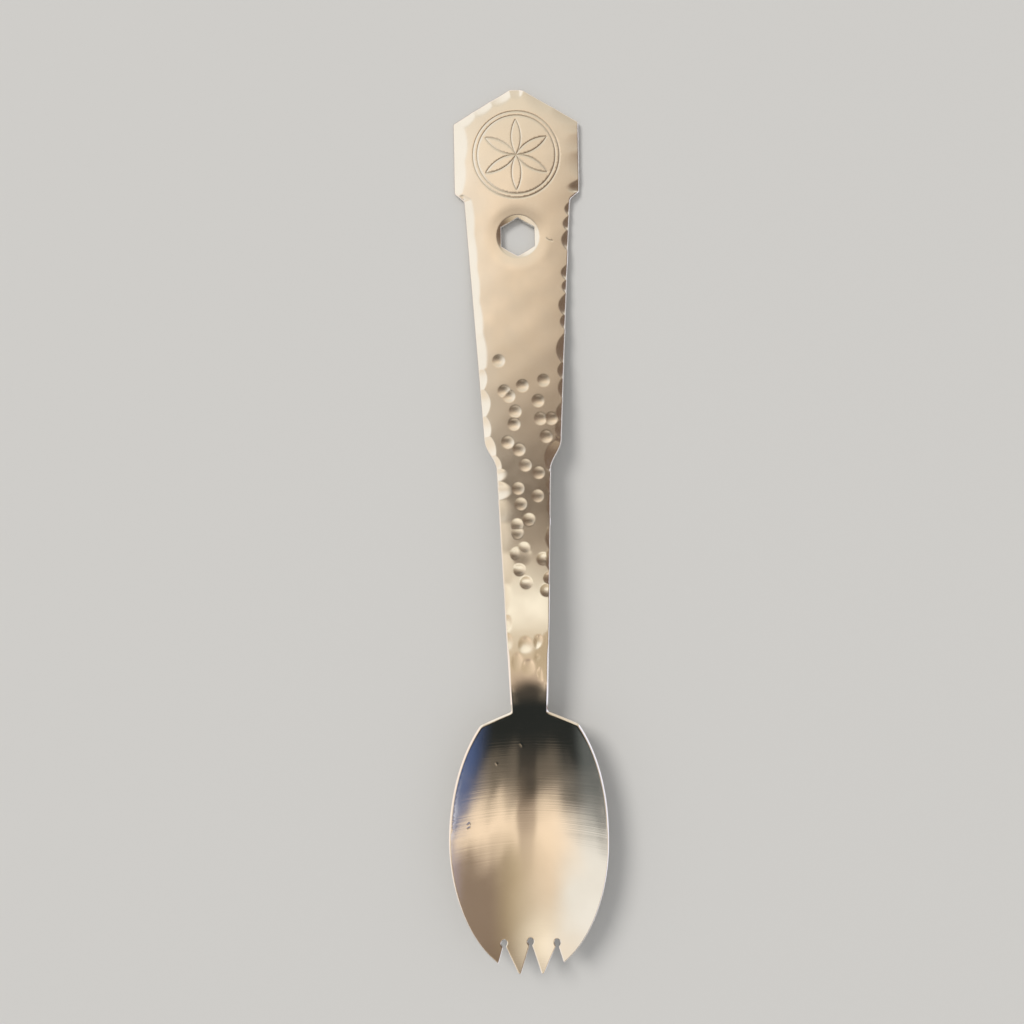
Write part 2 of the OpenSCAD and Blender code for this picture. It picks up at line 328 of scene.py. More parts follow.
# Blows set one by one, as place along the part, length, bite and, where it isn't the usual one, slope
RIGHT_HANDLE_BLOWS = [
    (22.6, 5.2, 1.7), (26.6, 5.4, 1.6), (32.6, 5.6, 1.3), (36.8, 5.0, 1.6), (42.0, 8.2, 2.1),
    (48.8, 4.2, 1.4), (52.8, 6.0, 1.9), (57.4, 3.6, 1.3), (60.8, 4.0, 1.6), (68.8, 5.4, 1.8),
    (72.8, 4.0, 1.6), (76.4, 3.4, 1.3),
]
RIGHT_HEAD_BLOWS = [
    (81.6, 3.8, 2.6, 0.18), (88.0, 7.4, 2.2, 0.08), (92.4, 5.6, 2.5, 0.06), (96.4, 3.0, 1.9, 0.05),
]
RIGHT_NECK_BLOWS = [
    (-31.0, 13.0, 3.7, 0.10), (-12.4, 3.4, 1.6), (-8.0, 5.4, 1.3), (-2.8, 5.8, 1.2),
    (4.8, 6.6, 0.9), (9.6, 4.6, 1.1),
]
LEFT_NECK_BLOWS = [
    (-16.5, 9.0, 1.5, 0.14), (-9.4, 12.0, 2.4, 0.12), (-2.4, 13.0, 2.9, 0.12), (3.2, 9.0, 3.0, 0.12),
    (8.2, 5.2, 3.2, 0.18), (12.4, 4.6, 2.2, 0.20),
]
RIGHT_STEP_BLOWS = [(16.4, 9.6, 2.7, 0.30), (20.4, 3.6, 1.5, 0.30)]


def listed_blows(bottom, top, side, marks, soft):
    """Blows from a list, on an edge that runs from one place along the part to another."""
    low, high = (bottom, top) if side > 0 else (top, bottom)
    made = []
    for y, length, bite, *slope in marks:
        place = abs(y - low[1]) / abs(high[1] - low[1]) * math.dist(low, high)
        made.append(Blow(low, high, place, length, bite, soft, *slope))
    return made


def all_blows():
    """The blows on every stretch of edge, round the part from the neck's right."""
    head, tip = HEAD_W / 2, HEAD_TIP_W / 2
    right = [edge_point(y, 1) for y in (NECK_Y, STEP_Y, HANDLE_Y, SHOULDER_Y)]
    left = [edge_point(y, -1) for y in (NECK_Y, STEP_Y, HANDLE_Y, SHOULDER_Y)]
    made = listed_blows(right[0], right[1], 1, RIGHT_NECK_BLOWS, CRISP)
    made += listed_blows(right[1], right[2], 1, RIGHT_STEP_BLOWS, CRISP)
    made += listed_blows(right[2], right[3], 1, RIGHT_HANDLE_BLOWS, CRISP)
    made += listed_blows((head, HEAD_Y), (head, PEAK_Y), 1, RIGHT_HEAD_BLOWS, SOFT)
    made += even_blows((head, PEAK_Y), (tip, END_Y), TOP_RIGHT_BLOWS, SOFT, slope=TOP_RIGHT_SLOPE)
    made += even_blows((tip, END_Y), (-tip, END_Y), TIP_BLOWS, SOFT)
    made += even_blows((-tip, END_Y), (-head, PEAK_Y), TOP_LEFT_BLOWS, SOFT)
    made += even_blows((-head, PEAK_Y), (-head, HEAD_Y), LEFT_HEAD_BLOWS, SOFT)
    shorter_from = mix(np.array(left[3]), np.array(left[2]), SHORTER_FROM)
    made += even_blows(left[3], shorter_from, UPPER_LEFT_BLOWS, SOFT, LESS_UNEVEN)
    made += even_blows(shorter_from, left[2], LOWER_LEFT_BLOWS, CRISP, LESS_UNEVEN)
    made += even_blows(left[2], left[1], LEFT_STEP_BLOWS, CRISP)
    made += listed_blows(left[0], left[1], -1, LEFT_NECK_BLOWS, SOFT)
    return made


# Round marks: place across as a share of the half width, along from the bowl to the head
DIMPLE_SHARES = [
    (-0.51, 0.68), (0.02, 0.63), (0.52, 0.64), (-0.42, 0.62), (-0.31, 0.61), (0.39, 0.60),
    (-0.17, 0.58), (0.45, 0.565), (0.72, 0.565), (-0.21, 0.555), (0.60, 0.53), (-0.39, 0.52),
    (-0.11, 0.505), (0.07, 0.475), (0.55, 0.46), (-0.22, 0.43), (-0.76, 0.425), (0.51, 0.415),
    (-0.14, 0.40), (0.16, 0.37), (-0.31, 0.36), (-0.32, 0.345), (-0.07, 0.315), (-0.41, 0.305),
    (0.70, 0.295), (-0.29, 0.275), (-0.02, 0.25), (0.85, 0.235),
]
DIMPLE_R = 1.55
DIMPLE_DEPTH = 0.18
DIMPLE_SOFT = 0.03
# Planishing dents at the foot of the neck: place as above, half width, half length and depth
DENTS_AT = [
    (0.52, 0.133, 1.33, 2.25, 0.18), (0.54, 0.105, 1.30, 1.60, 0.15), (0.61, 0.077, 0.97, 2.25, 0.14),
    (-0.11, 0.129, 1.80, 2.35, 0.18), (0.00, 0.088, 1.76, 2.25, 0.13), (-0.54, 0.097, 1.44, 2.60, 0.12),
    (-0.92, 0.136, 1.12, 2.25, 0.12), (-0.92, 0.172, 1.12, 2.25, 0.12), (-0.82, 0.055, 1.33, 3.15, 0.03),
    (-0.15, 0.300, 2.40, 2.60, 0.12),
]
# How their depth grows towards the right and towards the head
DENT_SKEW = (-0.15, 0.80)
DENT_SOFT = 0.02


def mark_places(shares):
    """Places in millimetres from shares of the half width and of the length."""
    y = np.array([mix(NECK_Y, SHOULDER_Y, s[1]) for s in shares])
    x = sway(y) + np.array([s[0] for s in shares]) * half_width(y)
    return np.c_[x, y]


DIMPLES = mark_places(DIMPLE_SHARES)
DENTS = mark_places(DENTS_AT)

# Fine scratches, each a short line of points
SCRATCHES = [
    [(7.0, 69.4), (7.6, 68.9), (8.4, 68.8)],
    [(-1.6, -52.4), (-1.1, -53.1)],
    [(-7.5, -57.0), (-7.2, -57.5)],
    [(-14.6, -71.2), (-14.0, -70.9), (-13.8, -71.4)],
    [(-14.3, -72.0), (-13.9, -71.8)],
]
SCRATCH_HALF = 0.09
SCRATCH_DEPTH = 0.025

# The engraving on the head: a plain six-petal rosette in two rings
ROSETTE_CENTRE = np.array([0.0, HEAD_Y + HEAD_SIDE_LEN / 2 + 0.4])
ROSETTE_R = 8.6
RING_RADII = (9.5, 10.5)
GROOVE_HALF = 0.14
GROOVE_DEPTH = 0.07
# The mesh's rows across an engraved line and across a scratch, as shares of its half width,
# and the distances between the points of a row
GROOVE_ROWS = (-1.15, -0.575, 0.0, 0.575, 1.15)
SCRATCH_ROWS = (-1.2, -0.6, 0, 0.6, 1.2)
GROOVE_STEP = 0.2
SCRATCH_STEP = 0.1
PETAL_TURNS = [math.pi / 6 + math.pi / 3 * i for i in range(6)]


def groove_distance(p):
    """Distance from each point to the nearest engraved line."""
    q = p - ROSETTE_CENTRE
    r = np.hypot(q[:, 0], q[:, 1])
    best = np.full(len(p), FAR)
    for ring in RING_RADII:
        best = np.minimum(best, np.abs(r - ring))
    for turn in PETAL_TURNS:
        c = ROSETTE_R * np.array([math.cos(turn), math.sin(turn)])
        arc = np.abs(np.hypot(*(q - c).T) - ROSETTE_R)
        best = np.minimum(best, np.where(r < ROSETTE_R, arc, FAR))
    return best


def groove_points():
    """Rows of points along the engraved lines, so that the mesh follows them."""
    rows = np.array(GROOVE_ROWS) * GROOVE_HALF
    made = []
    for ring in RING_RADII:
        for off in rows:
            a = np.arange(0, 2 * math.pi, GROOVE_STEP / ring)
            made.append(ROSETTE_CENTRE + (ring + off) * np.c_[np.cos(a), np.sin(a)])
    for turn in PETAL_TURNS:
        c = ROSETTE_CENTRE + ROSETTE_R * np.array([math.cos(turn), math.sin(turn)])
        a = turn + math.pi + np.arange(-math.pi / 3, math.pi / 3, GROOVE_STEP / ROSETTE_R)
        for off in rows:
            made.append(c + (ROSETTE_R + off) * np.c_[np.cos(a), np.sin(a)])
    return np.vstack(made)


# Finish of the surface. First the width of the broken upper edge: on the handle, at the upper and
# the lower half of the bowl, and in the notches.
RIM_W = 0.22
BOWL_RIM_W = 0.42
LOW_RIM_W = 0.30
NOTCH_RIM_W = 0.15
# How often these widths are evened out along the outline, so that they change slowly
RIM_SOFTENINGS = 12
# How steeply the broken upper edge falls, measured from the level
RIM_FALL = 0.85
RIM_SOFT = 0.04
HOLE_RIM_R = 0.18
LOWER_RIM_R = 0.25
# Length over which the blows set in at the foot of the neck
BLOW_FADE = 3
# Widths over which the creases of the dish and the countersink are rounded
DISH_SOFT = 0.06
SINK_SOFT = 0.04
# How strongly the handle and head are crowned
CROWN = 0.003
# Slow unevenness: height, then each wave's direction, length and shift
WAVE_HEIGHT = 0.006
WAVES = ((0.3, 9.1, 0.0), (1.35, 12.7, 1.9), (2.2, 7.3, 4.1), (2.9, 16.0, 2.6))
# How far the whole face is set back, to stay inside the CAD model's box
SKIN = 0.012


def dent(p, centre, across, along, deep, skew=(0.0, 0.0)):
    """Depth of a round or long dent, below zero outside it. A skewed one is steeper on one side."""
    q = (p - centre) / (across, along)
    return deep * (1 - (q ** 2).sum(1)) * np.clip(1 + q @ np.array(skew), 0.2, 1.8)


def soft_max(a, b, width):
    """The larger of two depths, with the crease between them rounded."""
    h = np.clip(0.5 + (a - b) / (2 * width), 0, 1)
    return mix(b, a, h) + width * h * (1 - h)


def blow_depth(p):
    """Depth of the hammer blows together."""
    made = {SOFT: np.full(len(p), NO_MARK), CRISP: np.full(len(p), NO_MARK)}
    for blow in BLOWS:
        made[blow.soft] = soft_max(blow.depth(p), made[blow.soft], blow.soft / 2)
    flat = np.zeros(len(p))
    return soft_max(soft_max(made[SOFT], flat, SOFT), soft_max(made[CRISP], flat, CRISP), CRISP)


def scratch_distance(p):
    """Distance from each point to the nearest scratch."""
    best = np.full(len(p), FAR)
    for line in SCRATCHES:
        for a, b in zip(line[:-1], line[1:]):
            a, b = np.array(a), np.array(b)
            t = np.clip((p - a) @ (b - a) / ((b - a) @ (b - a)), 0, 1)
            best = np.minimum(best, np.linalg.norm(p - a - t[:, None] * (b - a), axis=1))
    return best


def scratch_points():
    """Rows of points along the scratches."""
    made = []
    for line in SCRATCHES:
        for a, b in zip(line[:-1], line[1:]):
            a, b = np.array(a), np.array(b)
            run = np.linalg.norm(b - a)
            side = np.array([a[1] - b[1], b[0] - a[0]]) / run
            for t in np.arange(0, 1, SCRATCH_STEP / run):
                made += [mix(a, b, t) + side * off * SCRATCH_HALF for off in SCRATCH_ROWS]
    return np.array(made)


def wave(p):
    """A slow unevenness, as planished metal has."""
    x, y = p[:, 0], p[:, 1]
    made = np.zeros(len(p))
    for turn, length, shift in WAVES:
        made += np.sin(2 * math.pi * (x * math.cos(turn) + y * math.sin(turn)) / length + shift)
    return WAVE_HEIGHT * made * (ease((y - CREST_Y) / CREST_RUN) + ease((NECK_Y - y) / SHOULDER_LEN))


def broken_edge(p, edge, inward, width):
    """Depth of a bevel along the outline that falls equally steeply on the bowl and the handle."""
    run = soft_max(width - edge, np.zeros(len(p)), RIM_SOFT)
    brink = p + inward * run[:, None]
    return face_z(*p.T) - face_z(*brink.T) + RIM_FALL * run


def finish_depth(p, hole_edge):
    """Depth of the finish below the plain face, but for the broken edge along the outline."""
    y = p[:, 1]
    depth = blow_depth(p) * ease((y - NECK_Y) / BLOW_FADE)
    for c in DIMPLES:
        depth = soft_max(dent(p, c, DIMPLE_R, DIMPLE_R, DIMPLE_DEPTH), depth, DIMPLE_SOFT)
    for c, (_, _, across, along, deep) in zip(DENTS, DENTS_AT):
        depth = soft_max(dent(p, c, across, along, deep, DENT_SKEW), depth, DENT_SOFT)
    r = np.hypot(*(p - HEX_CENTRE).T)
    dish = DISH_DEPTH * np.clip((DISH_R - r) / DISH_MARGIN, -1, 1)
    sink = DISH_DEPTH + SINK_DEPTH * (SINK_R - r) / (SINK_R - HEX_AF / 2)
    depth = np.where(r < DISH_R + 1, soft_max(dish, depth, DISH_SOFT), depth)
    depth = np.where(r < SINK_R + 1, soft_max(sink, depth, SINK_SOFT), depth)
    depth += GROOVE_DEPTH * np.clip(1 - groove_distance(p) / GROOVE_HALF, 0, 1)
    depth += SCRATCH_DEPTH * np.clip(1 - scratch_distance(p) / SCRATCH_HALF, 0, 1)
    depth += CROWN * (p[:, 0] - sway(y)) ** 2 * ease((y - CREST_Y) / CREST_RUN)
    return depth + rounding(hole_edge, HOLE_RIM_R) + wave(p) + SKIN


def rounding(distance, radius):
    """How far a rounded edge has fallen at a distance from it."""
    d = np.clip(distance, 0, radius)
    return radius - np.sqrt(radius ** 2 - (radius - d) ** 2)


# Meshing: points on the outline, rows of points beside it, and a net of points between.
# Neighbours are looked for in square cells with this side, wider than any gap between points.
CELL = 0.5
# Distance below which two points become one
WELD_GAP = 1e-6


class Thinner:
    """Keeps points that lie at least some distance from those kept before."""

    def __init__(self):
        self.cells = {}
        self.kept = []

    def taken(self, x, y, gap):
        """Whether a kept point lies closer than the gap."""
        i, j = int(x // CELL), int(y // CELL)
        for a in (i - 1, i, i + 1):
            for b in (j - 1, j, j + 1):
                for qx, qy in self.cells.get((a, b), ()):
                    if (qx - x) ** 2 + (qy - y) ** 2 < gap * gap:
                        return True
        return False

    def add(self, points, gap):
        for x, y in points.tolist():
            if not self.taken(x, y, gap):
                key = (int(x // CELL), int(y // CELL))
                self.cells.setdefault(key, []).append((x, y))
                self.kept.append((x, y))


class Edge:
    """Distance from points to a closed loop, and which side of it they are on."""

    def __init__(self, loop):
        self.loop = loop
        self.next = np.roll(loop, -1, 0)
        self.tree = KDTree(len(loop))
        for i, (x, y) in enumerate(loop.tolist()):
            self.tree.insert((x, y, 0), i)
        self.tree.balance()

    def nearest(self, p):
        """Number of the loop's point that is nearest to each point."""
        return np.array([self.tree.find((x, y, 0))[1] for x, y in p.tolist()])

    def signed(self, p):
        """Distance to the loop, above zero on the left of its direction of travel."""
        index = self.nearest(p)
        best = np.full(len(p), 1e9)
        sign = np.ones(len(p))
        for shift in (-1, 0):
            k = (index + shift) % len(self.loop)
            a, b = self.loop[k], self.next[k]
            ab, ap = b - a, p - a
            t = np.clip((ap * ab).sum(1) / (ab * ab).sum(1), 0, 1)
            d = np.linalg.norm(ap - ab * t[:, None], axis=1)
            cross = ab[:, 0] * ap[:, 1] - ab[:, 1] * ap[:, 0]
            closer = d < best - 1e-9
            tie = ~closer & (d < best + 1e-9)
            sign = np.where(closer, np.where(cross >= 0, 1, -1), sign)
            sign = np.where(tie & (cross < 0), -1, sign)
            best = np.minimum(best, d)
        return best * sign

    def inward(self):
        """Unit directions to the left of the loop's travel, one for each of its points."""
        along = self.next - np.roll(self.loop, 1, 0)
        along /= np.linalg.norm(along, axis=1)[:, None]
        return np.c_[-along[:, 1], along[:, 0]]

    def rows(self, offsets):
        """Copies of the loop, moved to its left by each offset."""
        return [self.loop + self.inward() * d for d in offsets]


def net(step, low, high):
    """A triangular net of points over a box."""
    rows = np.arange(low[1], high[1], step * math.sqrt(3) / 2)
    made = []
    for i, y in enumerate(rows):
        x = np.arange(low[0] + (i % 2) * step / 2, high[0], step)
        made.append(np.c_[x, np.full(len(x), y)])
    return np.vstack(made)


LOOP, SIDES = outline()
# How far the whole outline is set back, to stay inside the CAD model's box
INSET = 0.01
OUTER = Edge(Edge(LOOP).rows([INSET])[0])
HOLE = Edge(hexagon())
BLOWS = all_blows()


def rim_widths():
    """Width of the broken upper edge at each point of the outline."""
    y = LOOP[:, 1]
    widths = np.where(y > CREST_Y, RIM_W, mix(LOW_RIM_W, BOWL_RIM_W, ease((y - WIDE_Y) / SHOULDER_LEN)))
    widths[SIDES:] = NOTCH_RIM_W
    for _ in range(RIM_SOFTENINGS):
        widths = soften(widths)
    return widths


RIM_WIDTHS = rim_widths()
# Distances of the mesh's rows from the outline and the hole, above and below
UPPER_ROWS = (0.06, 0.15, 0.26, 0.38, 0.5)
LOWER_ROWS = (0.05, 0.14, 0.26, 0.45)
# Rows along the crease of the broken edge, as shares of its width
CREASE_ROWS = (1.0, 0.8, 1.2)
# Radii of the rings of points in and round a mark and the countersink, and the points' distance
DIMPLE_RINGS = (0.02, 0.4, 0.8, 1.15, 1.4, 1.55, 1.7, 1.95)
SINK_RINGS = (4.75, 4.9, 5.05, 5.15, 5.25, 5.4, 5.7, 7.5, 7.7, 7.9)
DIMPLE_RING_STEP = 0.26
SINK_RING_STEP = 0.25
# Steps of the nets of points: along the handle's edges, on the handle, in the bowl and below
EDGE_NET = 0.24
EDGE_NET_REACH = 3.0
HANDLE_NET = 0.34
BOWL_NET = 0.5
LOWER_NET = 0.8


def inside_points(thin, points, margin, gap):
    """Adds points of the metal, at least a margin from its edges and a gap from other points."""
    edge, hole = OUTER.signed(points), HOLE.signed(points)
    thin.add(points[(edge > margin) & (hole > margin)], gap)


def rings(centres, radii, step):
    """Points on circles round each centre."""
    made = []
    for c in centres:
        for r in radii:
            a = np.arange(0, 2 * math.pi, step / r)
            made.append(c + r * np.c_[np.cos(a), np.sin(a)])
    return np.vstack(made)


def triangles(points):
    """Triangles between the outline and the hexagon hole. The loops are the first points."""
    n, m = len(OUTER.loop), len(HOLE.loop)
    edges = [(i, (i + 1) % n) for i in range(n)]
    edges += [(n + i, n + (i + 1) % m) for i in range(m)]
    # Output of kind 1: only triangles within the outline
    made = delaunay_2d_cdt([Vector(p) for p in points], edges, [], 1, WELD_GAP)
    xy = np.array([(v.x, v.y) for v in made[0]])
    tris = np.array(made[2])
    # The loops' points keep their own order in the result
    place = {}
    for new, olds in enumerate(made[3]):
        for old in olds:
            place[old] = new
    middle = xy[tris].mean(1)
    tris = tris[HOLE.signed(middle) > 0]
    a, b, c = xy[tris[:, 0]], xy[tris[:, 1]], xy[tris[:, 2]]
    area = (b[:, 0] - a[:, 0]) * (c[:, 1] - a[:, 1]) - (b[:, 1] - a[:, 1]) * (c[:, 0] - a[:, 0])
    tris[area < 0] = tris[area < 0][:, ::-1]
    return xy, tris, [place[i] for i in range(n)], [place[n + i] for i in range(m)]


def start_points(offsets, creases=()):
    """The loops' points, rows beside them, and rows that follow the crease of the broken edge."""
    thin = Thinner()
    thin.add(OUTER.loop, 0)
    thin.add(HOLE.loop, 0)
    for share in creases:
        crease = OUTER.loop + OUTER.inward() * (RIM_WIDTHS * share)[:, None]
        inside_points(thin, crease, margin=0.05, gap=0.05)
    for edge in (OUTER, HOLE):
        for offset, row in zip(offsets, edge.rows(offsets)):
            inside_points(thin, row, margin=offset * 0.8, gap=0.05)
    return thin


def upper_points():
    """Points of the upper face. The finest ones come first and keep their place."""
    thin = start_points(UPPER_ROWS, CREASE_ROWS)
    inside_points(thin, groove_points(), margin=0.4, gap=0.06)
    inside_points(thin, scratch_points(), margin=0.4, gap=0.05)
    inside_points(thin, rings(DIMPLES, DIMPLE_RINGS, DIMPLE_RING_STEP), margin=0.3, gap=0.11)
    inside_points(thin, rings([HEX_CENTRE], SINK_RINGS, SINK_RING_STEP), margin=0.2, gap=0.1)
    fine = net(EDGE_NET, (-BOWL_R, NECK_Y), (BOWL_R, END_Y))
    from_edge = OUTER.signed(fine)
    fine = fine[(from_edge > 0) & (from_edge < EDGE_NET_REACH)]
    inside_points(thin, fine, margin=0.3, gap=0.17)
    inside_points(thin, net(HANDLE_NET, (-BOWL_R, NECK_Y), (BOWL_R, END_Y)), margin=0.3, gap=0.2)
    inside_points(thin, net(BOWL_NET, (-BOWL_R, TIP_Y), (BOWL_R, NECK_Y)), margin=0.3, gap=0.25)
    return thin.kept


def lower_points():
    """Points of the underside."""
    thin = start_points(LOWER_ROWS)
    inside_points(thin, net(LOWER_NET, (-BOWL_R, TIP_Y), (BOWL_R, END_Y)), margin=0.5, gap=0.4)
    return thin.kept


def sharpen(mesh, loops):
    """Marks the edges that run along closed rows of vertices as sharp."""
    place = np.full(len(mesh.vertices), -9, int)
    turn = np.zeros(len(mesh.vertices), int)
    first = 0
    for loop in loops:
        place[loop] = first + np.arange(len(loop))
        turn[loop] = len(loop) - 1
        first += len(loop) + 9
    ends = np.zeros(len(mesh.edges) * 2, int)
    mesh.edges.foreach_get("vertices", ends)
    a, b = ends[::2], ends[1::2]
    gap = np.abs(place[a] - place[b])
    neighbours = (gap == 1) | ((gap == turn[a]) & (turn[a] == turn[b]))
    along = (place[a] >= 0) & (place[b] >= 0) & neighbours
    mesh.attributes.new("sharp_edge", "BOOLEAN", "EDGE").data.foreach_set("value", along)


def make_spork():
    """The closed mesh: upper face, underside, and walls along the outline and the hexagon hole."""
    top, top_tris, top_loop, top_hole = triangles(upper_points())
    edge, hole = np.clip(OUTER.signed(top), 0, None), np.clip(HOLE.signed(top), 0, None)
    plain = face_z(*top.T)
    at = OUTER.nearest(top)
    depth = finish_depth(top, hole) + broken_edge(top, edge, OUTER.inward()[at], RIM_WIDTHS[at])
    under, under_tris, under_loop, under_hole = triangles(lower_points())
    edge_u, hole_u = np.clip(OUTER.signed(under), 0, None), np.clip(HOLE.signed(under), 0, None)
    low = face_z(*under.T) - thickness(under[:, 1])
    low += np.maximum(rounding(edge_u, LOWER_RIM_R), rounding(hole_u, LOWER_RIM_R))
    vertices = np.vstack([np.c_[top, plain - depth], np.c_[under, low]]) * MM
    faces = top_tris.tolist()
    shift = len(top)
    faces += (under_tris[:, ::-1] + shift).tolist()
    for upper, lower in ((top_loop, under_loop), (top_hole, under_hole)):
        count = len(upper)
        for i in range(count):
            j = (i + 1) % count
            faces.append((upper[i], lower[i] + shift, lower[j] + shift, upper[j]))
    mesh = bpy.data.meshes.new("spork_metal")
    mesh.from_pydata(vertices.tolist(), [], faces)
    # Where the engraved lines and scratches lie, so that the material can paint their shade with a
    # darker colour
    marked = mesh.attributes.new("engraved", "FLOAT", "POINT")
    lines = np.minimum(groove_distance(top) / GROOVE_HALF, scratch_distance(top) / SCRATCH_HALF)
    marked.data.foreach_set("value", np.r_[np.clip(1.2 - lines, 0, 1), np.zeros(len(under))])
    mesh.validate()
    mesh.polygons.foreach_set("use_smooth", [True] * len(mesh.polygons))
    sharpen(mesh, [top_loop, top_hole, np.array(under_loop) + shift, np.array(under_hole) + shift])
    mesh.update()
    piece = bpy.data.objects.new("spork_metal", mesh)
    bpy.context.collection.objects.link(piece)
    return piece


# Node helpers: each takes numbers or sockets and gives a socket
def put(tree, socket, value):
    if isinstance(value, bpy.types.NodeSocket):
        tree.links.new(value, socket)
    elif isinstance(value, tuple) and len(value) == 3 and socket.type == "RGBA":
        socket.default_value = (*value, 1)
    else:
        socket.default_value = value


def maths(tree, operation, *values):
    made = tree.nodes.new("ShaderNodeMath")
    made.operation = operation
    for socket, value in zip(made.inputs, values):
        put(tree, socket, value)
    return made.outputs[0]


def smooth(tree, value, low, high, to_low=0.0, to_high=1.0, kind="SMOOTHSTEP"):
    """Moves smoothly from one value to another while the input goes from low to high."""
    made = tree.nodes.new("ShaderNodeMapRange")
    made.interpolation_type = kind
    numbers = {"Value": value, "From Min": low, "From Max": high, "To Min": to_low, "To Max": to_high}
    for name, number in numbers.items():
        put(tree, made.inputs[name], number)
    return made.outputs["Result"]


def linear(tree, value, low, high, to_low, to_high):
    return smooth(tree, value, low, high, to_low, to_high, "LINEAR")


def blend(tree, factor, a, b):
    made = tree.nodes.new("ShaderNodeMix")
    made.data_type = "RGBA"
    put(tree, made.inputs[0], factor)
    put(tree, made.inputs[6], a)
    put(tree, made.inputs[7], b)
    return made.outputs[2]


def mix_numbers(tree, factor, a, b):
    made = tree.nodes.new("ShaderNodeMix")
    put(tree, made.inputs[0], factor)
    put(tree, made.inputs[2], a)
    put(tree, made.inputs[3], b)
    return made.outputs[0]


def noise(tree, vector, scale, detail=3.0, roughness=0.55):
    made = tree.nodes.new("ShaderNodeTexNoise")
    values = {"Vector": vector, "Scale": scale, "Detail": detail, "Roughness": roughness}
    for name, value in values.items():
        put(tree, made.inputs[name], value)
    return made.outputs["Fac"]


def ramp(tree, value, stops):
    """A straight colour ramp from pairs of place and colour."""
    made = tree.nodes.new("ShaderNodeValToRGB")
    made.color_ramp.interpolation = "LINEAR"
    elements = made.color_ramp.elements
    while len(elements) < len(stops):
        elements.new(0.5)
    for element, (place, colour) in zip(elements, stops):
        element.position = place
        element.color = (*colour, 1)
    put(tree, made.inputs["Fac"], value)
    return made.outputs["Color"]


def split(tree, vector):
    made = tree.nodes.new("ShaderNodeSeparateXYZ")
    put(tree, made.inputs[0], vector)
    return made.outputs


def stretched_noise(tree, vector, scales, detail, roughness):
    """Noise that repeats more often in one direction than in another."""
    made = tree.nodes.new("ShaderNodeMapping")
    made.inputs["Scale"].default_value = scales
    put(tree, made.inputs["Vector"], vector)
    return noise(tree, made.outputs[0], 1.0, detail, roughness)


METAL_DARKER = (0.765, 0.74, 0.70)
METAL_LIGHTER = (0.82, 0.795, 0.76)
# Colour of the engraved lines and scratches: a painted shade in these grooves
GROOVE_SHADE_TONE = (0.58, 0.55, 0.50)
# Size of the slow changes of tone and of polish, as noise scales per metre
TONE_SCALE = 60.0
POLISH_SCALE = 220.0
# Least and most roughness on the handle and in the bowl
HANDLE_ROUGHNESS = (0.18, 0.25)
BOWL_ROUGHNESS = (0.11, 0.16)
# Share of it that is left round the end of the neck, and the distances over which it comes back
NECK_END_SHARE = 0.62
NECK_END_REACH = (6, 14)
# The brushed lines across the bowl and the grain along the handle: noise scales and heights
BRUSH_SCALES = (30.0, 2700.0, 30.0)
BRUSH_HEIGHT = 0.46
GRAIN_SCALES = (1500.0, 90.0, 90.0)
GRAIN_HEIGHT = 0.26
# Share of the brushed lines' height in the lower half of the bowl
LOW_BRUSH_SHARE = 0.45
LINE_STRENGTH = 0.5
LINE_DEPTH = 0.00003


def metal_material():
    material = bpy.data.materials.new("satin_metal")
    material.use_nodes = True
    tree = material.node_tree
    shader = tree.nodes["Principled BSDF"]
    shader.inputs["Metallic"].default_value = 1.0
    place = tree.nodes.new("ShaderNodeTexCoord").outputs["Object"]
    along = maths(tree, "MULTIPLY", split(tree, place)["Y"], 1 / MM)
    in_bowl = smooth(tree, along, CREST_Y + 5, CREST_Y - 6)
    # Slow changes of tone over the plate, and a darker colour in the engraved lines and scratches that
    # paints in their shade
    tone = ramp(tree, noise(tree, place, TONE_SCALE), [(0.35, METAL_DARKER), (0.68, METAL_LIGHTER)])
    lines = tree.nodes.new("ShaderNodeAttribute")
    lines.attribute_name = "engraved"
    put(tree, shader.inputs["Base Color"], blend(tree, lines.outputs["Fac"], tone, GROOVE_SHADE_TONE))
    # Satin polish, a little uneven, glossier in the bowl
    cloud = noise(tree, place, POLISH_SCALE, 1.0, 0.5)
    satin = linear(tree, cloud, 0.25, 0.75, *HANDLE_ROUGHNESS)
    gloss = linear(tree, cloud, 0.25, 0.75, *BOWL_ROUGHNESS)
    # Glossiest round the end of the neck, where a dark reflection would look grainy
    from_neck = maths(tree, "ABSOLUTE", maths(tree, "SUBTRACT", along, NECK_Y - 3))
    gloss = maths(tree, "MULTIPLY", gloss, smooth(tree, from_neck, *NECK_END_REACH, NECK_END_SHARE, 1.0))
    put(tree, shader.inputs["Roughness"], mix_numbers(tree, in_bowl, satin, gloss))
    # Fine lines across the bowl, from brushing, and a faint grain along the handle
    brushed = stretched_noise(tree, place, BRUSH_SCALES, 1.0, 0.5)
    below_neck = smooth(tree, along, NECK_Y + 2, NECK_Y - 8)
    brushed = maths(tree, "MULTIPLY", brushed, linear(tree, below_neck, 0.0, 1.0, 0.0, BRUSH_HEIGHT))
    low_share = smooth(tree, along, WIDE_Y + 5, WIDE_Y - 10, 1.0, LOW_BRUSH_SHARE)
    brushed = maths(tree, "MULTIPLY", brushed, low_share)
    grain = stretched_noise(tree, place, GRAIN_SCALES, 3.0, 0.6)
    grain = maths(tree, "MULTIPLY", grain, linear(tree, in_bowl, 0.0, 1.0, GRAIN_HEIGHT, 0.0))
    bump = tree.nodes.new("ShaderNodeBump")
    bump.inputs["Strength"].default_value = LINE_STRENGTH
    bump.inputs["Distance"].default_value = LINE_DEPTH
    put(tree, bump.inputs["Height"], maths(tree, "ADD", brushed, grain))
    put(tree, shader.inputs["Normal"], bump.outputs["Normal"])
    return material


FLOOR_TONE = (0.60, 0.595, 0.58)
FLOOR_ROUGHNESS = 0.9
# Half the floor's side in metres
FLOOR_HALF = 3.0


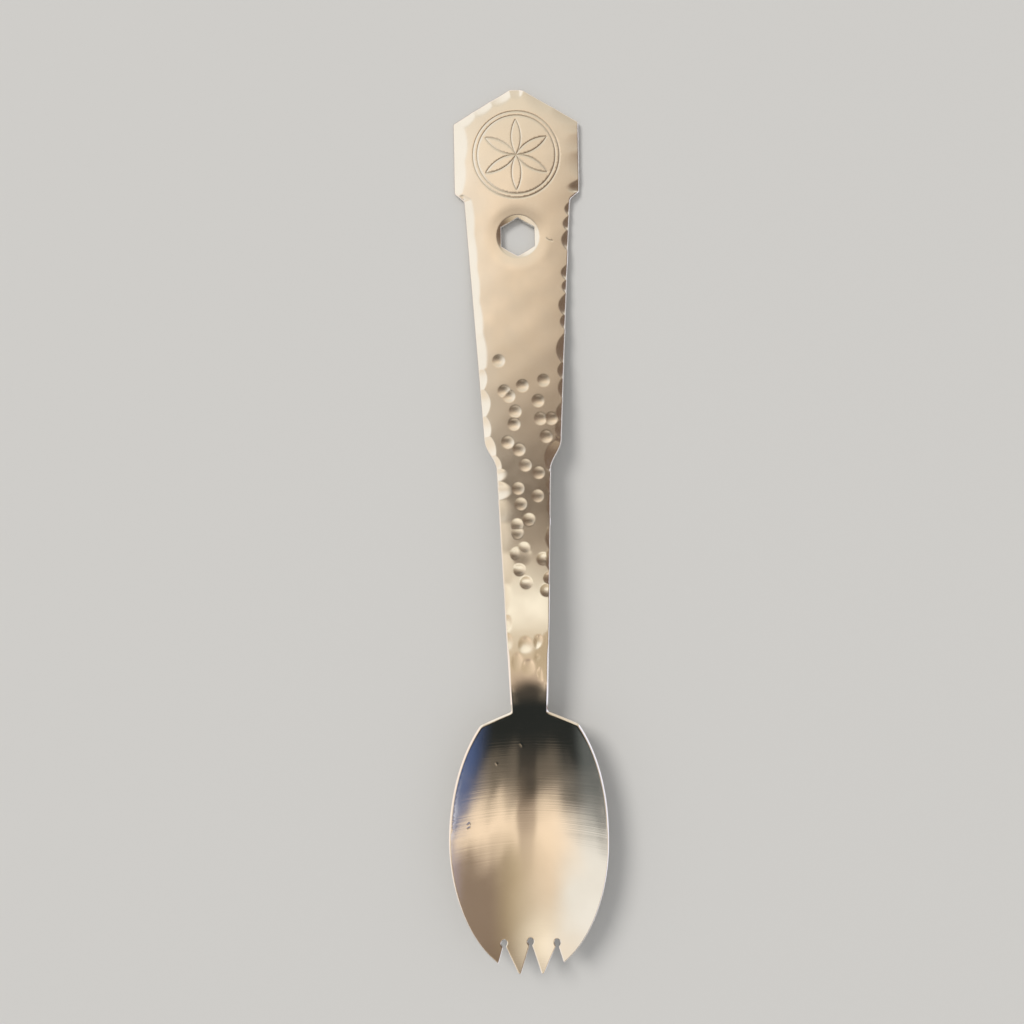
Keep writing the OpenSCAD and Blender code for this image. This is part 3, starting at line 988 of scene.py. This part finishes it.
def floor_material():
    material = bpy.data.materials.new("pale_floor")
    material.use_nodes = True
    shader = material.node_tree.nodes["Principled BSDF"]
    shader.inputs["Base Color"].default_value = (*FLOOR_TONE, 1)
    shader.inputs["Roughness"].default_value = FLOOR_ROUGHNESS
    return material


# The piece
spork = make_spork()
spork.data.materials.append(metal_material())
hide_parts("spork")
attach(spork, "root")


# Stage
def level_sheet(name, xs, ys, z, material):
    """A level rectangle between two places across and two along, in metres."""
    corners = [(xs[0], ys[0], z), (xs[1], ys[0], z), (xs[1], ys[1], z), (xs[0], ys[1], z)]
    mesh = bpy.data.meshes.new(name)
    mesh.from_pydata(corners, [], [(0, 1, 2, 3)])
    mesh.materials.append(material)
    made = bpy.data.objects.new(name, mesh)
    bpy.context.collection.objects.link(made)
    return made


def make_floor():
    sides = (-FLOOR_HALF, FLOOR_HALF)
    return level_sheet("floor", sides, sides, 0, floor_material())


make_floor()


# The lamp lights the floor and makes the shadow. It isn't seen in the metal, which mirrors the
# panel and the card below instead. Its place only gives its direction.
LAMP_FROM = (-0.5, 0.45, 0.7)
LAMP_STRENGTH = 1.8
LAMP_SPREAD = 0.42
LAMP_COLOUR = (1.0, 0.97, 0.93)


def key_lamp():
    lamp = bpy.data.lights.new("key", "SUN")
    lamp.energy = LAMP_STRENGTH
    lamp.angle = LAMP_SPREAD
    lamp.color = LAMP_COLOUR
    made = bpy.data.objects.new("key", lamp)
    made.location = LAMP_FROM
    made.rotation_euler = (-Vector(LAMP_FROM)).to_track_quat("-Z", "Y").to_euler()
    bpy.context.collection.objects.link(made)
    made.visible_camera = False
    made.visible_glossy = False


key_lamp()


# A graduated panel above the part, which only reflections show. The polished metal mirrors it:
# pale on the left, warm overhead, brown on the right, and dark beyond the bowl's end.
PANEL_Z = 262.0
PANEL_X = (-760.0, 760.0)
PANEL_Y = (-760.0, 760.0)
PANEL_STRENGTH = 1.25
COOL_LOW = (0.84, 0.80, 0.72)
PEACH = (0.84, 0.72, 0.57)
COOL_HIGH = (0.93, 0.88, 0.79)
CREAM = (1.0, 0.88, 0.69)
AMBER = (1.0, 0.79, 0.57)
OLIVE = (0.42, 0.325, 0.20)
GREY_BROWN = (0.26, 0.19, 0.135)
DEEP_BROWN = (0.165, 0.112, 0.077)
MAUVE = (0.33, 0.26, 0.26)
DIM_BLUE = (0.08, 0.115, 0.235)
DIM_GREY = (0.11, 0.118, 0.112)
SLATE = (0.021, 0.023, 0.021)
STREAK_TONE = (0.06, 0.026, 0.016)
# The panel's middle strip along the part: place, brightness, and how amber the cream is
STRIP = [
    (-200, 0.97, 1.0), (-150, 0.97, 1.0), (-100, 0.82, 1.0), (-66, 0.75, 0.7), (-40, 0.80, 0.3),
    (-18, 1.10, 0.0), (-2, 0.98, 0.1), (14, 0.54, 0.6), (32, 0.50, 0.8), (44, 0.07, 1.0),
    (76, 0.08, 1.0), (92, 0.29, 0.8), (108, 0.39, 0.8), (122, 0.49, 0.8), (136, 0.60, 1.0),
    (150, 1.06, 1.0), (175, 0.98, 0.9), (200, 0.76, 0.1), (260, 0.70, 0.0),
]
# Each pair of places below says where one tone begins to change and where the next has taken over,
# in the part's millimetres: X is across the panel and Y along it.
# How far the tones' borders wander where the bowl mirrors them
WANDER = 70.0
WANDER_SCALE = 9.0
WANDER_Y = (-70.0, -150.0)
# The pale left side, whose border leans and recedes towards the bowl
PEACH_Y = (-60.0, 10.0)
COOL_HIGH_Y = (50.0, 120.0)
LEAN = 70.0
LEAN_Y = (10.0, -70.0)
COOL_START_X = (-140.0, -340.0)
COOL_START_Y = (-80.0, -170.0)
COOL_END_X = -15.0
# The brown right side, with a slanted border, a bent lower end and a shift beside the head
BROWN_X = (-90.0, 150.0)
BROWN_SLANT = 0.2
BROWN_SHIFT = 62.0
BROWN_SHIFT_Y = (152.0, 205.0)
BROWN_BEND = 0.0004
BROWN_LOW_Y = (-175.0, -100.0)
BROWN_HIGH_Y = (430.0, 300.0)
GREY_BROWN_X = (60.0, 230.0)
DEEP_BROWN_Y = (-50.0, 30.0)
MAUVE_X = (450.0, 600.0)
# The dark streak, which widens and gets stronger towards the bowl's end
STREAK_X = 9.0
STREAK_HALF = (20.0, 57.0)
STREAK_HALF_Y = (-60.0, -260.0)
STREAK_EDGE = (1.35, 0.65)
STREAK_STRENGTH = 0.72
STREAK_Y = (-80.0, -215.0)
# The dark beyond the bowl's end, with a dim share of light that reaches further
DARK_BEND = 0.0002
DARK_SHIFT = 58.0
DARK_SHIFT_X = (40.0, 420.0)
DARK_Y = (-242.0, -164.0)
DIM_BLUE_X = (230.0, 560.0)
DIM_GREY_X = (-270.0, -430.0)
DUSK_SHARE = 0.14
DUSK_X = (300.0, 430.0)
DUSK_Y = (-335.0, -240.0)


def glow_material(name):
    material = bpy.data.materials.new(name)
    material.use_nodes = True
    material.cycles.emission_sampling = "NONE"
    tree = material.node_tree
    tree.nodes.clear()
    glow = tree.nodes.new("ShaderNodeEmission")
    out = tree.nodes.new("ShaderNodeOutputMaterial")
    tree.links.new(glow.outputs[0], out.inputs["Surface"])
    return material, tree, glow


def strip_stops():
    """The middle strip as stops of a colour ramp."""
    low, high = STRIP[0][0], STRIP[-1][0]
    return [((at - low) / (high - low), tuple(value * mix(c, a, amber) for c, a in zip(CREAM, AMBER)))
            for at, value, amber in STRIP]


def panel_material():
    material, tree, glow = glow_material("panel_glow")
    spot = tree.nodes.new("ShaderNodeTexCoord").outputs["Object"]
    place = split(tree, spot)
    x = maths(tree, "MULTIPLY", place["X"], 1 / MM)
    y = maths(tree, "MULTIPLY", place["Y"], 1 / MM)
    # Its edges wander a little in the part that the bowl mirrors
    wander = maths(tree, "SUBTRACT", noise(tree, spot, WANDER_SCALE, 2.0, 0.6), 0.5)
    wander = maths(tree, "MULTIPLY", wander, smooth(tree, y, *WANDER_Y, 0.0, WANDER))
    x = maths(tree, "ADD", x, wander)
    y = maths(tree, "ADD", y, wander)
    # The middle strip, with pale cool tones on its left
    strip = ramp(tree, linear(tree, y, STRIP[0][0], STRIP[-1][0], 0.0, 1.0), strip_stops())
    cool = blend(tree, smooth(tree, y, *PEACH_Y), COOL_LOW, PEACH)
    cool = blend(tree, smooth(tree, y, *COOL_HIGH_Y), cool, COOL_HIGH)
    leaning = maths(tree, "ADD", x, smooth(tree, y, *LEAN_Y, 0.0, LEAN))
    cool_start = smooth(tree, y, *COOL_START_Y, *COOL_START_X)
    colour = blend(tree, smooth(tree, leaning, cool_start, COOL_END_X), cool, strip)
    # Brown on the right, but neither beyond the bowl nor far beyond the head
    square = maths(tree, "MULTIPLY", x, x)
    bent = maths(tree, "ADD", y, maths(tree, "MULTIPLY", square, BROWN_BEND))
    slanted = maths(tree, "SUBTRACT", x, maths(tree, "MULTIPLY", y, BROWN_SLANT))
    slanted = maths(tree, "SUBTRACT", slanted, smooth(tree, y, *BROWN_SHIFT_Y, 0.0, BROWN_SHIFT))
    right = maths(tree, "MULTIPLY", smooth(tree, slanted, *BROWN_X), smooth(tree, bent, *BROWN_LOW_Y))
    right = maths(tree, "MULTIPLY", right, smooth(tree, y, *BROWN_HIGH_Y))
    brown = blend(tree, smooth(tree, x, *GREY_BROWN_X), OLIVE, GREY_BROWN)
    brown = blend(tree, smooth(tree, y, *DEEP_BROWN_Y), brown, DEEP_BROWN)
    brown = blend(tree, smooth(tree, x, *MAUVE_X), brown, MAUVE)
    colour = blend(tree, right, colour, brown)
    # A dark streak towards the bowl's end
    from_streak = maths(tree, "ABSOLUTE", maths(tree, "SUBTRACT", x, STREAK_X))
    share = maths(tree, "DIVIDE", from_streak, smooth(tree, y, *STREAK_HALF_Y, *STREAK_HALF))
    streak = smooth(tree, y, *STREAK_Y, 0.0, STREAK_STRENGTH)
    streak = maths(tree, "MULTIPLY", smooth(tree, share, *STREAK_EDGE), streak)
    colour = blend(tree, streak, colour, STREAK_TONE)
    # Dark beyond the bowl's end, with dim blue at the far right and dim grey at the far left
    reach = maths(tree, "ADD", y, maths(tree, "MULTIPLY", square, DARK_BEND))
    reach = maths(tree, "ADD", reach, smooth(tree, x, *DARK_SHIFT_X, 0.0, DARK_SHIFT))
    dark = blend(tree, smooth(tree, x, *DIM_BLUE_X), SLATE, DIM_BLUE)
    dark = blend(tree, smooth(tree, x, *DIM_GREY_X), dark, DIM_GREY)
    dusk = smooth(tree, x, *DUSK_X, DUSK_SHARE, 0.0)
    lit = mix_numbers(tree, dusk, smooth(tree, reach, *DARK_Y), smooth(tree, reach, *DUSK_Y))
    colour = blend(tree, lit, dark, colour)
    put(tree, glow.inputs["Color"], colour)
    glow.inputs["Strength"].default_value = PANEL_STRENGTH
    return material


def mirror_only(name, xs, ys, z, material):
    """A level rectangle that only reflections show."""
    made = level_sheet(name, [x * MM for x in xs], [y * MM for y in ys], z * MM, material)
    made.visible_camera = False
    made.visible_diffuse = False
    made.visible_shadow = False
    made.visible_transmission = False
    made.visible_volume_scatter = False
    return made


# A small bright card close above the neck
GLINT_Z = 110.0
GLINT_X = (-26.0, 26.0)
GLINT_Y = (-30.5, -13.0)
GLINT_COLOUR = (1.38, 1.28, 1.05)


def glint_material():
    material, tree, glow = glow_material("glint_glow")
    put(tree, glow.inputs["Color"], GLINT_COLOUR)
    return material


mirror_only("panel", PANEL_X, PANEL_Y, PANEL_Z, panel_material())
mirror_only("glint", GLINT_X, GLINT_Y, GLINT_Z, glint_material())

# Low down the reflections are bright on the left and a little bluer on the right
MIRROR_LEFT = (1.25, 1.10, 1.00)
MIRROR_RIGHT = (1.15, 1.15, 1.26)
MIRROR_X = (-0.6, 0.8)
# Everything but a reflection gets an even pale light
EVEN_LIGHT = (0.62, 0.62, 0.62)


def world_light():
    world = bpy.data.worlds.new("studio")
    bpy.context.scene.world = world
    world.use_nodes = True
    world.cycles.sampling_method = "NONE"
    tree = world.node_tree
    side = split(tree, tree.nodes.new("ShaderNodeTexCoord").outputs["Generated"])["X"]
    mirror = blend(tree, smooth(tree, side, *MIRROR_X), MIRROR_LEFT, MIRROR_RIGHT)
    path = tree.nodes.new("ShaderNodeLightPath")
    sky = blend(tree, path.outputs["Is Glossy Ray"], EVEN_LIGHT, mirror)
    put(tree, tree.nodes["Background"].inputs["Color"], sky)


world_light()

# Camera: it looks straight down, from where the photograph was taken
VIEW_HEIGHT = 245.6
VIEW_CENTRE = (-2.58, 3.2)
# Turn of the picture in degrees
VIEW_TURN = -1.05
FOCAL_PIXELS = 1005.0
IMAGE_PIXELS = 1024.0
SENSOR_WIDTH = 36.0
NEAREST_SEEN = 0.01

camera_data = bpy.data.cameras.new("camera")
camera_data.sensor_width = SENSOR_WIDTH
camera_data.lens = SENSOR_WIDTH * FOCAL_PIXELS / IMAGE_PIXELS
camera_data.clip_start = NEAREST_SEEN
camera = bpy.data.objects.new("camera", camera_data)
camera.location = (VIEW_CENTRE[0] * MM, VIEW_CENTRE[1] * MM, VIEW_HEIGHT * MM)
camera.rotation_euler = (0, 0, math.radians(VIEW_TURN))
bpy.context.collection.objects.link(camera)
bpy.context.scene.camera = camera
bpy.context.scene.view_settings.view_transform = "Standard"
